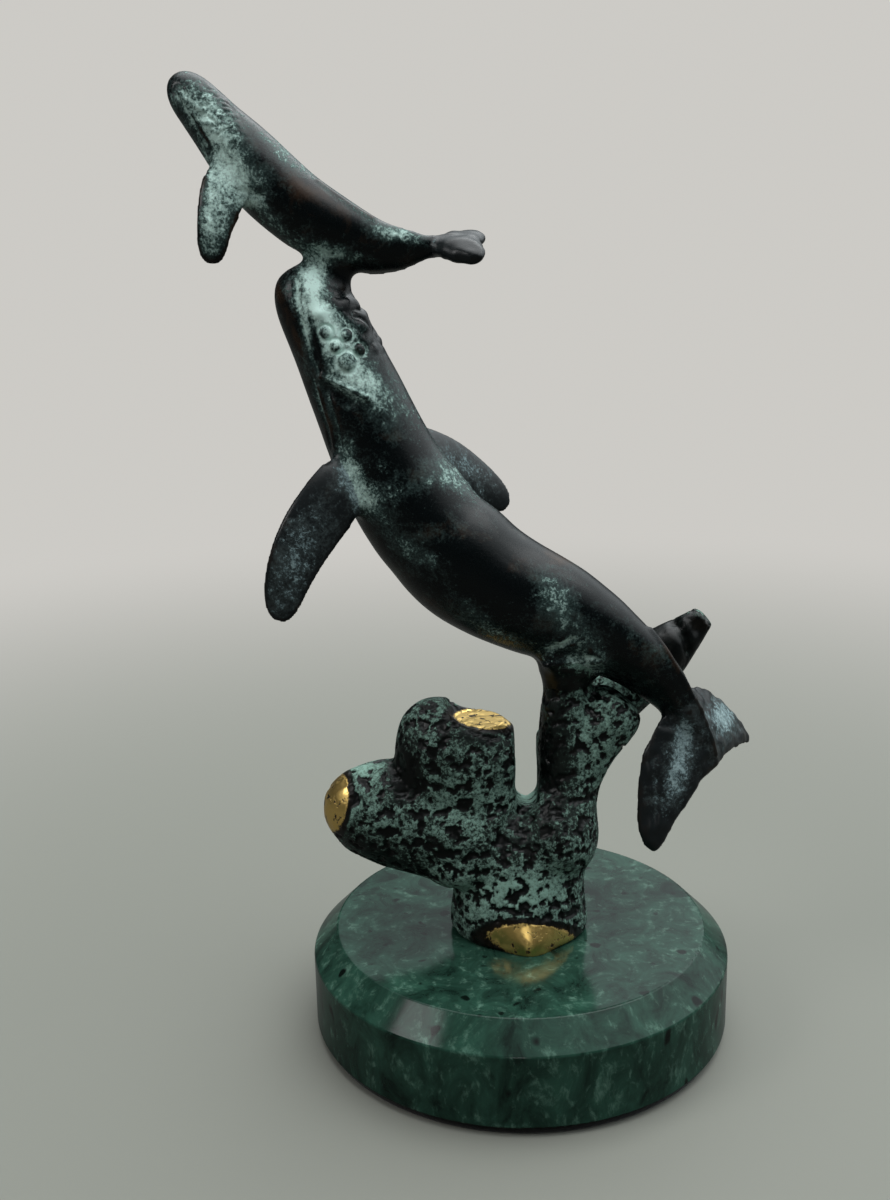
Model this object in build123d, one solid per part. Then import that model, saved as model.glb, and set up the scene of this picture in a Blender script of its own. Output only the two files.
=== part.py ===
from build123d import *
import os
from dataclasses import dataclass
from math import cos, radians, sin

# A bronze whale and a calf over a coral, on a bevelled marble disc.
# Millimetres. The origin is the centre of the underside, +Z is up, +X runs from
# the heads towards the tails and +Y runs away from the side that the whales show.

# Marble base and the felt under it
BASE_DIAMETER = 100.0
BASE_THICKNESS = 23.0
BASE_BEVEL = 5.8
BASE_EDGE_ROUND = 0.7
PAD_INSET = 1.2
PAD_THICKNESS = 2.0

# Stud, washer and nut that draw the coral down on the marble
STUD_DIAMETER = 6.0
STUD_CLEARANCE = 0.4
STUD_GRIP = 13.0
STUD_TAIL = 1.5
STUD_END_GAP = 1.0
WASHER_DIAMETER = 16.0
WASHER_CLEARANCE = 1.5
WASHER_THICKNESS = 1.6
NUT_WIDTH = 10.0
NUT_HEIGHT = 5.0

# Coral casting
CORAL_HEIGHT = 62.0
CORAL_FOOT_WIDTH = 32.4
CORAL_FOOT_DEPTH = 27.6
CORAL_FOOT_SHIFT = 3.5
CORAL_FOOT_TRIM = 1.5
CORAL_TRUNK_HEIGHT = 29.0
CORAL_POST_WIDTH = 13.6
CORAL_POST_DEPTH = 16.0
CORAL_POST_SHIFT = 11.3
CORAL_SHOULDER_WIDTH = 14.6
CORAL_SHOULDER_SHIFT = 24.5
CORAL_SHOULDER_DROP = 5.5
CORAL_LOBE_WIDTH = 30.0
CORAL_LOBE_DEPTH = 21.0
CORAL_LOBE_SHIFT = 13.4
CORAL_LOBE_HEIGHT = 55.0
CORAL_SLOT_WIDTH = 5.4
CORAL_SLOT_SHIFT = 1.9
CORAL_SLOT_FLOOR = 29.5
CORAL_SLOT_TILT_ANGLE = 15.0
CORAL_ARM_REACH = 46.0
CORAL_ARM_DEPTH = 20.0
CORAL_ARM_HEIGHT = 27.0
CORAL_ARM_RISE = 30.3
CORAL_BRANCH_DIAMETER = 14.6
CORAL_BRANCH_SHIFT = 45.2
CORAL_BRANCH_OFFSET = 17.5
CORAL_BRANCH_HEIGHT = 71.0

# Large whale
WHALE_LENGTH = 153.0
WHALE_DEPTH = 27.2
WHALE_BREADTH = 26.8
WHALE_ROLL_ANGLE = 34.0
WHALE_TWIST_ANGLE = 12.0
WHALE_RISE = 14.0
WHALE_FLIPPER_CHORD = 15.0
WHALE_FLIPPER_THICKNESS = 5.0
WHALE_FLUKE_HALF_SPAN = 22.0
WHALE_FLUKE_CHORD = 20.0
WHALE_FLUKE_THICKNESS = 4.4
WHALE_FLUKE_DROOP = 9.2
WHALE_SPIGOT_DIAMETER = 3.6
WHALE_SPIGOT_LENGTH = 6.0

# Calf
CALF_LENGTH = 80.0
CALF_DEPTH = 15.4
CALF_BREADTH = 15.0
CALF_ROLL_ANGLE = 15.0
CALF_TWIST_ANGLE = 0.0
CALF_RISE = 23.5
CALF_FLIPPER_CHORD = 8.6
CALF_FLIPPER_THICKNESS = 3.2
CALF_FLUKE_HALF_SPAN = 9.0
CALF_FLUKE_CHORD = 10.6
CALF_FLUKE_THICKNESS = 4.6
CALF_FLUKE_DROOP = 1.0
CALF_SPIGOT_DIAMETER = 2.2
CALF_SPIGOT_LENGTH = 3.4
CALF_POST_WIDTH = 10.8
CALF_POST_BREADTH = 7.4

# Pins and braze that join the castings
BELLY_DOWEL_DIAMETER = 5.0
BELLY_DOWEL_LENGTH = 24.0
BELLY_DOWEL_SETBACK = 4.0
CALF_DOWEL_DIAMETER = 3.0
CALF_DOWEL_SETBACK = 4.0
WELD_WIDTH = 1.2
WELD_HEIGHT = 5.0
FIT_CLEARANCE = 0.1
SOCKET_END_GAP = 0.5

BASE_TOP = PAD_THICKNESS + BASE_THICKNESS
RECESS_DEPTH = WASHER_THICKNESS + NUT_HEIGHT + STUD_TAIL + STUD_END_GAP
CUT_OVERRUN = BASE_THICKNESS
ASIDE = Vector(1, 0, 0)
AWAY = Vector(0, 1, 0)
UP = Vector(0, 0, 1)

# Spine shares: x and z from the seat, as shares of the animal's length
WHALE_SPINE_SHARES = (
    (-0.392, 0.510),
    (-0.314, 0.360),
    (-0.242, 0.197),
    (-0.123, 0.062),
    (0.018, -0.011),
    (0.143, -0.107),
    (0.229, -0.239),
)
CALF_SPINE_SHARES = (
    (-0.390, 0.388),
    (-0.284, 0.268),
    (-0.150, 0.117),
    (0.0, 0.0),
    (0.126, -0.050),
    (0.262, -0.056),
    (0.420, -0.048),
)
CALF_STATION_SHARE = 0.112
CALF_POST_WAIST_SHARE = 0.92
FLUKE_AIM_SHARE = 0.94

# Body shares: station along the spine, half depth, half breadth, and how high the crest
# of the keel stands above the spine, in half depths, with zero where there is no keel
WHALE_BODY_SHARES = (
    (0.000, 0.16, 0.20, 0.00),
    (0.010, 0.36, 0.40, 0.00),
    (0.033, 0.51, 0.56, 0.00),
    (0.086, 0.63, 0.68, 0.00),
    (0.168, 0.71, 0.76, 0.00),
    (0.260, 0.81, 0.83, 0.00),
    (0.347, 0.91, 0.92, 0.92),
    (0.433, 0.97, 0.97, 1.05),
    (0.526, 1.00, 0.99, 1.06),
    (0.600, 0.96, 0.91, 1.08),
    (0.666, 0.89, 0.79, 1.16),
    (0.726, 0.77, 0.61, 1.10),
    (0.789, 0.67, 0.43, 1.12),
    (0.842, 0.53, 0.34, 1.18),
    (0.877, 0.42, 0.31, 1.22),
)
CALF_BODY_SHARES = (
    (0.000, 0.16, 0.20, 0.00),
    (0.012, 0.36, 0.38, 0.00),
    (0.040, 0.54, 0.56, 0.00),
    (0.090, 0.66, 0.70, 0.00),
    (0.160, 0.76, 0.80, 0.00),
    (0.245, 0.91, 0.92, 0.90),
    (0.360, 1.00, 1.00, 1.03),
    (0.480, 1.00, 0.98, 1.03),
    (0.590, 0.96, 0.84, 1.04),
    (0.690, 0.78, 0.58, 1.08),
    (0.785, 0.55, 0.36, 1.06),
    (0.850, 0.38, 0.26, 1.06),
)
KEEL_FOOT_SHARE = 0.5
KEEL_BREADTH_SHARE = 0.2

# Flipper shares: way along the axis, chord and thickness
WHALE_FLIPPER_SECTION_SHARES = (
    (0.00, 1.00, 1.00),
    (0.22, 1.00, 0.95),
    (0.45, 0.90, 0.80),
    (0.70, 0.76, 0.60),
    (0.88, 0.58, 0.42),
    (0.97, 0.36, 0.26),
    (1.00, 0.16, 0.14),
)
CALF_FLIPPER_SECTION_SHARES = (
    (0.00, 1.56, 1.30),
    (0.25, 1.48, 1.25),
    (0.42, 1.22, 1.10),
    (0.60, 0.98, 0.95),
    (0.78, 0.80, 0.85),
    (0.90, 0.68, 0.72),
    (0.97, 0.48, 0.52),
    (1.00, 0.26, 0.30),
)

# Fluke shares: way out along the half span, leading edge and trailing edge in
# chords behind the root, droop, and thickness
WHALE_FLUKE_SECTION_SHARES = (
    (0.00, 0.15, 0.96, 0.00, 1.00),
    (0.15, 0.02, 0.95, 0.06, 0.96),
    (0.35, 0.08, 1.01, 0.21, 0.88),
    (0.55, 0.23, 1.10, 0.41, 0.80),
    (0.75, 0.48, 1.20, 0.65, 0.70),
    (0.88, 0.71, 1.28, 0.83, 0.60),
    (0.96, 0.92, 1.32, 0.94, 0.46),
    (1.00, 1.07, 1.28, 1.00, 0.26),
)
CALF_FLUKE_SECTION_SHARES = (
    (0.00, 0.10, 1.04, 0.00, 1.00),
    (0.20, 0.05, 1.08, 0.06, 1.00),
    (0.45, 0.15, 1.13, 0.20, 0.95),
    (0.70, 0.36, 1.14, 0.50, 0.84),
    (0.90, 0.62, 1.12, 0.80, 0.64),
    (1.00, 0.84, 1.06, 1.00, 0.34),
)

# Flipper shares: where each leaves the spine, and its elbow and tip out from it,
# back along it and down from it
WHALE_FLIPPER_STATION_SHARE = 0.30
WHALE_LEFT_FLIPPER_SHARES = ((0.162, 0.040, 0.048), (0.228, 0.128, 0.110))
WHALE_RIGHT_FLIPPER_SHARES = ((0.145, 0.060, 0.025), (0.212, 0.170, 0.020))
CALF_FLIPPER_STATION_SHARE = 0.29
CALF_LEFT_FLIPPER_SHARES = ((0.105, 0.030, 0.070), (0.175, 0.135, 0.200))
CALF_RIGHT_FLIPPER_SHARES = ((0.105, 0.030, 0.070), (0.190, 0.120, 0.140))

# Coral limb shares: way along the limb's path, half width and half depth; the post
# goes by its way down from its seat under the whale to the trunk
TRUNK_SECTION_SHARES = (
    (0.0, 0.90, 0.90),
    (0.08, 1.0, 1.0),
    (0.3, 0.98, 0.98),
    (0.7, 1.0, 0.9),
    (0.92, 0.9, 0.75),
    (1.0, 0.6, 0.5),
)
POST_LEVEL_SHARES = (
    (1.4, 0.8, 0.95),
    (1.0, 0.93, 1.0),
    (0.55, 0.96, 1.0),
    (0.2, 0.88, 0.88),
)
POST_SEAT_SHARE = 0.74
POST_TOP_SHARE = 0.6
SHOULDER_SECTION_SHARES = (
    (0.0, 1.0, 1.05),
    (0.5, 0.98, 1.05),
    (0.8, 1.0, 0.96),
    (0.95, 0.92, 0.8),
    (1.0, 0.7, 0.5),
)
LOBE_SECTION_SHARES = (
    (0.0, 0.5, 0.8),
    (0.35, 0.94, 1.0),
    (0.62, 1.0, 1.0),
    (0.84, 0.98, 0.94),
    (0.95, 0.8, 0.7),
    (1.0, 0.42, 0.36),
)
ARM_SECTION_SHARES = (
    (0.0, 1.0, 1.1),
    (0.35, 1.03, 1.1),
    (0.62, 0.97, 1.0),
    (0.82, 0.78, 0.84),
    (0.95, 0.46, 0.5),
    (1.0, 0.18, 0.2),
)
BRANCH_SECTION_SHARES = (
    (0.0, 1.0, 1.0),
    (0.4, 1.0, 1.0),
    (0.7, 0.98, 0.98),
    (0.85, 0.82, 0.82),
    (0.96, 0.52, 0.52),
    (1.0, 0.42, 0.42),
)


@dataclass
class Animal:
    """The sizes and shares that one whale is modelled from."""

    length: float
    depth: float
    breadth: float
    roll_angle: float
    twist_angle: float
    seat: Vector
    spine_shares: tuple
    body_shares: tuple
    flipper_station_share: float
    left_flipper_shares: tuple
    right_flipper_shares: tuple
    flipper_section_shares: tuple
    fluke_section_shares: tuple
    flipper_chord: float
    flipper_thickness: float
    fluke_half_span: float
    fluke_chord: float
    fluke_thickness: float
    fluke_droop: float
    spigot_diameter: float
    spigot_length: float

    def __post_init__(self):
        points = [self.seat + Vector(x, 0, z) * self.length for x, z in self.spine_shares]
        self.spine = Spline(*points)

    def directions(self, share):
        """Back, dorsal and left directions of the body at a share of the spine."""
        back = self.spine.tangent_at(share)
        upright = back.cross(AWAY)
        roll = radians(self.roll_angle + self.twist_angle * share)
        dorsal = upright * cos(roll) - AWAY * sin(roll)
        left = AWAY * -cos(roll) - upright * sin(roll)
        return back, dorsal, left


def ring(centre, across, along, half_across, half_other):
    """An elliptical section, square to the direction that the form runs along."""
    return Plane(origin=centre, x_dir=across, z_dir=along) * Ellipse(half_across, half_other)


def rod(start, direction, length, diameter):
    """A round pin from a point along a direction."""
    section = Plane(origin=start, z_dir=direction) * Circle(diameter / 2)
    return extrude(section, length)


def pin_in_bore(start, direction, length, diameter):
    """A pin that stops short of its start, and the wider bore that takes it from there."""
    pin = rod(start + direction * SOCKET_END_GAP, direction, length - SOCKET_END_GAP, diameter)
    bore = rod(start, direction, length, diameter + 2 * FIT_CLEARANCE)
    return pin, bore


def keel_ring(centre, left, back, half_breadth, half_depth, crest_share):
    """A section of the narrow keel that runs along the back."""
    dorsal = back.cross(left)
    middle = centre + dorsal * half_depth * (crest_share + KEEL_FOOT_SHARE) / 2
    half_height = half_depth * (crest_share - KEEL_FOOT_SHARE) / 2
    return ring(middle, left, back, half_breadth * KEEL_BREADTH_SHARE, half_height)


def body_form(animal):
    """The body from snout to tail joint and the keel on its back, lofted through their sections."""
    sections = []
    keel_sections = []
    for share, depth_share, breadth_share, crest_share in animal.body_shares:
        back, dorsal, left = animal.directions(share)
        centre = animal.spine.position_at(share)
        half_breadth = breadth_share * animal.breadth / 2
        half_depth = depth_share * animal.depth / 2
        sections.append(ring(centre, left, back, half_breadth, half_depth))
        if crest_share:
            keel_sections.append(keel_ring(centre, left, back, half_breadth, half_depth, crest_share))
    return loft(sections) + loft(keel_sections)


def flipper_form(animal, fin_shares, side):
    """A flipper blade lofted from inside the body to its tip, with the spigot's pin and bore."""
    root = animal.spine.position_at(animal.flipper_station_share)
    back, dorsal, left = animal.directions(animal.flipper_station_share)
    points = [root]
    for out_share, back_share, down_share in fin_shares:
        reach = left * side * out_share + back * back_share - dorsal * down_share
        points.append(root + reach * animal.length)
    axis = Spline(*points)
    sections = []
    for share, chord_share, thickness_share in animal.flipper_section_shares:
        along = axis.tangent_at(share)
        across = back - along * back.dot(along)
        half_chord = chord_share * animal.flipper_chord / 2
        half_thickness = thickness_share * animal.flipper_thickness / 2
        sections.append(ring(axis.position_at(share), across, along, half_chord, half_thickness))
    skin_share = animal.breadth / 2 / axis.length
    outward = axis.tangent_at(skin_share)
    start = axis.position_at(skin_share) - outward * animal.spigot_length
    pin_length = animal.spigot_length + animal.spigot_diameter
    pin, bore = pin_in_bore(start, outward, pin_length, animal.spigot_diameter)
    return loft(sections), pin, bore


def fluke_form(animal):
    """The flukes lofted from tip to tip, with their wrist and keel, and the spigot's pin and bore."""
    root_share, depth_share, breadth_share, crest_share = animal.body_shares[-1]
    root = animal.spine.position_at(root_share)
    back, dorsal, left = animal.directions(FLUKE_AIM_SHARE)
    stations = [(-1, row) for row in reversed(animal.fluke_section_shares[1:])]
    stations += [(1, row) for row in animal.fluke_section_shares]
    sections = []
    for side, (out_share, lead_share, trail_share, droop_share, thickness_share) in stations:
        behind = back * (lead_share + trail_share) / 2 * animal.fluke_chord
        out = left * side * out_share * animal.fluke_half_span
        droop = dorsal * droop_share * animal.fluke_droop
        half_chord = (trail_share - lead_share) / 2 * animal.fluke_chord
        half_thickness = thickness_share * animal.fluke_thickness / 2
        sections.append(ring(root + behind + out - droop, back, left, half_chord, half_thickness))
    tail_back, tail_dorsal, tail_left = animal.directions(root_share)
    half_breadth = breadth_share * animal.breadth / 2
    half_depth = depth_share * animal.depth / 2
    half_thickness = animal.fluke_thickness / 2
    half_wrist = (half_depth + half_thickness) / 2
    middle = root + back * animal.fluke_chord / 3
    end = root + back * animal.fluke_chord * 2 / 3
    wrist = [
        ring(root, tail_left, tail_back, half_breadth, half_depth),
        ring(middle, left, back, half_breadth, half_wrist),
        ring(end, left, back, half_breadth / 2, half_thickness),
    ]
    keel = [
        keel_ring(root, tail_left, tail_back, half_breadth, half_depth, crest_share),
        keel_ring(end, left, back, half_breadth, half_thickness, crest_share),
    ]
    start = root - tail_back * animal.spigot_length
    pin_length = animal.spigot_length + animal.spigot_diameter
    pin, bore = pin_in_bore(start, tail_back, pin_length, animal.spigot_diameter)
    return loft(sections) + loft(wrist) + loft(keel), pin, bore


def animal_parts(animal, name):
    """The body with its sockets, and the fins, each trimmed to the skin and given its spigot."""
    form = body_form(animal)
    fins = {
        "left_flipper": flipper_form(animal, animal.left_flipper_shares, 1),
        "right_flipper": flipper_form(animal, animal.right_flipper_shares, -1),
        "flukes": fluke_form(animal),
    }
    body = form
    made = {}
    for fin, (blade, pin, bore) in fins.items():
        body = body - bore
        made[name + "_" + fin] = blade - form + pin
    made[name + "_body"] = body
    return form, made


def limb(points, section_shares, width, depth):
    """A coral limb lofted along a path, from a width in the plane of the coral and a depth across it."""
    path = Spline(*points)
    sections = []
    for share, width_share, depth_share in section_shares:
        centre = path.position_at(share)
        half_depth = depth_share * depth / 2
        half_width = width_share * width / 2
        sections.append(ring(centre, AWAY, path.tangent_at(share), half_depth, half_width))
    return loft(sections)


def coral_point(x, y, z):
    """A point of the coral, above the middle of the top of the base."""
    return Vector(x, y, BASE_TOP + z)


def post_form():
    """The upright post through level sections, so that its seat is the section that the braze fits."""
    climb = CORAL_HEIGHT - CORAL_TRUNK_HEIGHT
    seat = coral_point(CORAL_POST_SHIFT, 0, CORAL_HEIGHT)
    half_width = CORAL_POST_WIDTH / 2
    half_depth = CORAL_POST_DEPTH / 2
    sections = []
    for share, width_share, depth_share in POST_LEVEL_SHARES:
        centre = seat - UP * climb * share - AWAY * CORAL_FOOT_SHIFT / 2 * share
        sections.append(ring(centre, ASIDE, UP, width_share * half_width, depth_share * half_depth))
    sections.append(ring(seat, ASIDE, UP, POST_SEAT_SHARE * half_width, POST_SEAT_SHARE * half_depth))
    top = seat + UP * WHALE_RISE
    sections.append(ring(top, ASIDE, UP, POST_TOP_SHARE * half_width, POST_TOP_SHARE * half_depth))
    return loft(sections)


def slot_form():
    """The open slot between the lobe and the post, with a round floor that falls away to the back."""
    floor = coral_point(CORAL_SLOT_SHIFT, 0, CORAL_SLOT_FLOOR + CORAL_SLOT_WIDTH / 2)
    tilt = radians(CORAL_SLOT_TILT_ANGLE)
    section = Plane(origin=floor, x_dir=ASIDE, z_dir=UP * sin(tilt) - AWAY * cos(tilt))
    rise = CORAL_LOBE_HEIGHT
    sheet = section * Circle(CORAL_SLOT_WIDTH / 2)
    sheet += section * Pos(0, rise / 2) * Rectangle(CORAL_SLOT_WIDTH, rise)
    return extrude(sheet, CORAL_LOBE_DEPTH, both=True)


def coral_form():
    """The trunk and the limbs that grow from it, as one casting."""
    foot_y = -CORAL_FOOT_SHIFT
    heart = CORAL_TRUNK_HEIGHT / 2
    trunk = limb(
        [
            coral_point(0, foot_y, -CORAL_FOOT_TRIM),
            coral_point(0, foot_y, heart),
            coral_point(0, foot_y / 2, CORAL_TRUNK_HEIGHT),
        ],
        TRUNK_SECTION_SHARES,
        CORAL_FOOT_WIDTH,
        CORAL_FOOT_DEPTH,
    )
    shoulder = limb(
        [
            coral_point(CORAL_POST_SHIFT / 2, foot_y, heart),
            coral_point(CORAL_POST_SHIFT * 5 / 6, foot_y / 2, CORAL_TRUNK_HEIGHT),
            coral_point(CORAL_SHOULDER_SHIFT, 0, CORAL_HEIGHT - CORAL_SHOULDER_DROP),
        ],
        SHOULDER_SECTION_SHARES,
        CORAL_SHOULDER_WIDTH,
        CORAL_POST_DEPTH,
    )
    lobe = limb(
        [
            coral_point(-CORAL_LOBE_SHIFT * 2 / 3, foot_y, heart),
            coral_point(-CORAL_LOBE_SHIFT, foot_y, CORAL_TRUNK_HEIGHT),
            coral_point(-CORAL_LOBE_SHIFT * 5 / 6, foot_y, CORAL_LOBE_HEIGHT),
        ],
        LOBE_SECTION_SHARES,
        CORAL_LOBE_WIDTH,
        CORAL_LOBE_DEPTH,
    )
    arm = limb(
        [
            coral_point(-CORAL_LOBE_SHIFT / 2, foot_y, CORAL_ARM_RISE * 3 / 4),
            coral_point(-CORAL_LOBE_SHIFT * 2, foot_y, CORAL_ARM_RISE * 15 / 16),
            coral_point(-CORAL_ARM_REACH, foot_y, CORAL_ARM_RISE),
        ],
        ARM_SECTION_SHARES,
        CORAL_ARM_HEIGHT,
        CORAL_ARM_DEPTH,
    )
    branch = limb(
        [
            coral_point(0, CORAL_BRANCH_OFFSET / 5, CORAL_TRUNK_HEIGHT * 2 / 3),
            coral_point(
                CORAL_BRANCH_SHIFT * 3 / 8,
                CORAL_BRANCH_OFFSET * 4 / 5,
                CORAL_BRANCH_HEIGHT * 5 / 8,
            ),
            coral_point(CORAL_BRANCH_SHIFT * 4 / 5, CORAL_BRANCH_OFFSET, CORAL_BRANCH_HEIGHT * 7 / 8),
            coral_point(CORAL_BRANCH_SHIFT, CORAL_BRANCH_OFFSET, CORAL_BRANCH_HEIGHT),
        ],
        BRANCH_SECTION_SHARES,
        CORAL_BRANCH_DIAMETER,
        CORAL_BRANCH_DIAMETER,
    )
    casting = trunk + [shoulder, lobe, arm, branch] - slot_form() + post_form()
    ground_off = extrude(Plane.XY.offset(BASE_TOP) * Circle(BASE_DIAMETER / 2), -CUT_OVERRUN)
    return casting - ground_off


whale = Animal(
    length=WHALE_LENGTH,
    depth=WHALE_DEPTH,
    breadth=WHALE_BREADTH,
    roll_angle=WHALE_ROLL_ANGLE,
    twist_angle=WHALE_TWIST_ANGLE,
    seat=coral_point(CORAL_POST_SHIFT, 0, CORAL_HEIGHT + WHALE_RISE),
    spine_shares=WHALE_SPINE_SHARES,
    body_shares=WHALE_BODY_SHARES,
    flipper_station_share=WHALE_FLIPPER_STATION_SHARE,
    left_flipper_shares=WHALE_LEFT_FLIPPER_SHARES,
    right_flipper_shares=WHALE_RIGHT_FLIPPER_SHARES,
    flipper_section_shares=WHALE_FLIPPER_SECTION_SHARES,
    fluke_section_shares=WHALE_FLUKE_SECTION_SHARES,
    flipper_chord=WHALE_FLIPPER_CHORD,
    flipper_thickness=WHALE_FLIPPER_THICKNESS,
    fluke_half_span=WHALE_FLUKE_HALF_SPAN,
    fluke_chord=WHALE_FLUKE_CHORD,
    fluke_thickness=WHALE_FLUKE_THICKNESS,
    fluke_droop=WHALE_FLUKE_DROOP,
    spigot_diameter=WHALE_SPIGOT_DIAMETER,
    spigot_length=WHALE_SPIGOT_LENGTH,
)
snout = whale.spine.position_at(CALF_STATION_SHARE)
calf = Animal(
    length=CALF_LENGTH,
    depth=CALF_DEPTH,
    breadth=CALF_BREADTH,
    roll_angle=CALF_ROLL_ANGLE,
    twist_angle=CALF_TWIST_ANGLE,
    seat=snout + UP * CALF_RISE,
    spine_shares=CALF_SPINE_SHARES,
    body_shares=CALF_BODY_SHARES,
    flipper_station_share=CALF_FLIPPER_STATION_SHARE,
    left_flipper_shares=CALF_LEFT_FLIPPER_SHARES,
    right_flipper_shares=CALF_RIGHT_FLIPPER_SHARES,
    flipper_section_shares=CALF_FLIPPER_SECTION_SHARES,
    fluke_section_shares=CALF_FLUKE_SECTION_SHARES,
    flipper_chord=CALF_FLIPPER_CHORD,
    flipper_thickness=CALF_FLIPPER_THICKNESS,
    fluke_half_span=CALF_FLUKE_HALF_SPAN,
    fluke_chord=CALF_FLUKE_CHORD,
    fluke_thickness=CALF_FLUKE_THICKNESS,
    fluke_droop=CALF_FLUKE_DROOP,
    spigot_diameter=CALF_SPIGOT_DIAMETER,
    spigot_length=CALF_SPIGOT_LENGTH,
)


def joint_parts(whale_form, calf_form, coral):
    """The calf's post, the braze bead at the belly and the two pins, with the bores that take them."""
    post_half_width = CALF_POST_WIDTH / 2
    post_half_breadth = CALF_POST_BREADTH / 2
    waist_half_width = CALF_POST_WAIST_SHARE * post_half_width
    waist_half_breadth = CALF_POST_WAIST_SHARE * post_half_breadth
    post = loft(
        [
            ring(snout, ASIDE, UP, post_half_width, post_half_breadth),
            ring(snout + UP * CALF_RISE / 2, ASIDE, UP, waist_half_width, waist_half_breadth),
            ring(snout + UP * CALF_RISE, ASIDE, UP, post_half_width, post_half_breadth),
        ]
    )
    calf_pin, calf_bore = pin_in_bore(
        snout + UP * CALF_DOWEL_SETBACK,
        UP,
        CALF_RISE - 2 * CALF_DOWEL_SETBACK,
        CALF_DOWEL_DIAMETER,
    )
    belly_pin, belly_bore = pin_in_bore(
        whale.seat - UP * (BELLY_DOWEL_SETBACK + BELLY_DOWEL_LENGTH),
        UP,
        BELLY_DOWEL_LENGTH,
        BELLY_DOWEL_DIAMETER,
    )
    seat = coral_point(CORAL_POST_SHIFT, 0, CORAL_HEIGHT)
    half_width = POST_SEAT_SHARE * CORAL_POST_WIDTH / 2
    half_depth = POST_SEAT_SHARE * CORAL_POST_DEPTH / 2
    bead = loft(
        [
            ring(seat - UP * WELD_HEIGHT / 2, ASIDE, UP, half_width, half_depth),
            ring(seat, ASIDE, UP, half_width + WELD_WIDTH, half_depth + WELD_WIDTH),
            ring(seat + UP * WELD_HEIGHT, ASIDE, UP, half_width + WELD_WIDTH, half_depth + WELD_WIDTH),
        ]
    )
    made = {
        "calf_post": post - whale_form - calf_form - calf_bore,
        "calf_dowel": calf_pin,
        "belly_dowel": belly_pin,
        "belly_weld": bead - whale_form - coral,
    }
    return made, calf_bore, belly_bore


def base_parts():
    """The bevelled marble disc, bored and counterbored from below, and the felt glued under it."""
    bore = STUD_DIAMETER + 2 * STUD_CLEARANCE
    recess = WASHER_DIAMETER + 2 * WASHER_CLEARANCE
    underside = Plane.XY.offset(PAD_THICKNESS)
    marble = extrude(underside * Circle(BASE_DIAMETER / 2), BASE_THICKNESS)
    marble = chamfer(marble.edges().sort_by(Axis.Z)[-1], BASE_BEVEL)
    marble = fillet(marble.edges().filter_by(GeomType.CIRCLE), BASE_EDGE_ROUND)
    marble -= extrude(underside * Circle(bore / 2), BASE_THICKNESS + CUT_OVERRUN)
    marble -= extrude(underside * Circle(recess / 2), RECESS_DEPTH)
    felt = extrude(Plane.XY * Circle(BASE_DIAMETER / 2 - PAD_INSET), PAD_THICKNESS)
    return {"marble_base": marble, "felt_pad": felt}


def fastening_parts():
    """The stud through the marble into the coral's foot, with its washer and nut."""
    seat = Plane.XY.offset(PAD_THICKNESS + RECESS_DEPTH)
    bore = STUD_DIAMETER + 2 * STUD_CLEARANCE
    washer = extrude(seat * (Circle(WASHER_DIAMETER / 2) - Circle(bore / 2)), -WASHER_THICKNESS)
    under_washer = seat.offset(-WASHER_THICKNESS)
    hexagon = RegularPolygon(NUT_WIDTH / 2, 6, major_radius=False)
    nut = extrude(under_washer * (hexagon - Circle(STUD_DIAMETER / 2)), -NUT_HEIGHT)
    tail = Vector(0, 0, PAD_THICKNESS + STUD_END_GAP)
    stud = rod(tail, UP, BASE_TOP + STUD_GRIP - tail.Z, STUD_DIAMETER)
    return {"mounting_stud": stud, "flat_washer": washer, "hex_nut": nut}


def build():
    """Every piece by its name."""
    whale_form, pieces = animal_parts(whale, "whale")
    calf_form, calf_pieces = animal_parts(calf, "calf")
    coral = coral_form() - whale_form
    joints, calf_bore, belly_bore = joint_parts(whale_form, calf_form, coral)
    stud_bore = rod(Vector(0, 0, BASE_TOP), UP, STUD_GRIP + SOCKET_END_GAP, STUD_DIAMETER)
    pieces.update(calf_pieces)
    pieces.update(joints)
    pieces.update(base_parts())
    pieces.update(fastening_parts())
    pieces["whale_body"] = pieces["whale_body"] - calf_bore - belly_bore
    pieces["calf_body"] = pieces["calf_body"] - calf_bore
    pieces["coral"] = coral - belly_bore - stud_bore
    return pieces


os.makedirs("parts", exist_ok=True)
for name, piece in build().items():
    export_step(piece, "parts/" + name + ".step")
    print(name, len(piece.solids()), round(piece.volume, 1), piece.is_valid)
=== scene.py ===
# %% [markdown]
# A small bronze: a whale and a calf swim up from a coral that stands on a marble disc.
# The imported solids hold every size and place. This lesson dresses them the way a foundry
# would: the castings are fused and filleted, chased, patinated and rubbed, then set on stone.
# We load the solids first, and a small helper reads the box of any one of them.

# %% Load the solids
import math

import bmesh
import bpy
import numpy as np
from mathutils import Matrix, Vector, noise
from mathutils.bvhtree import BVHTree


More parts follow.
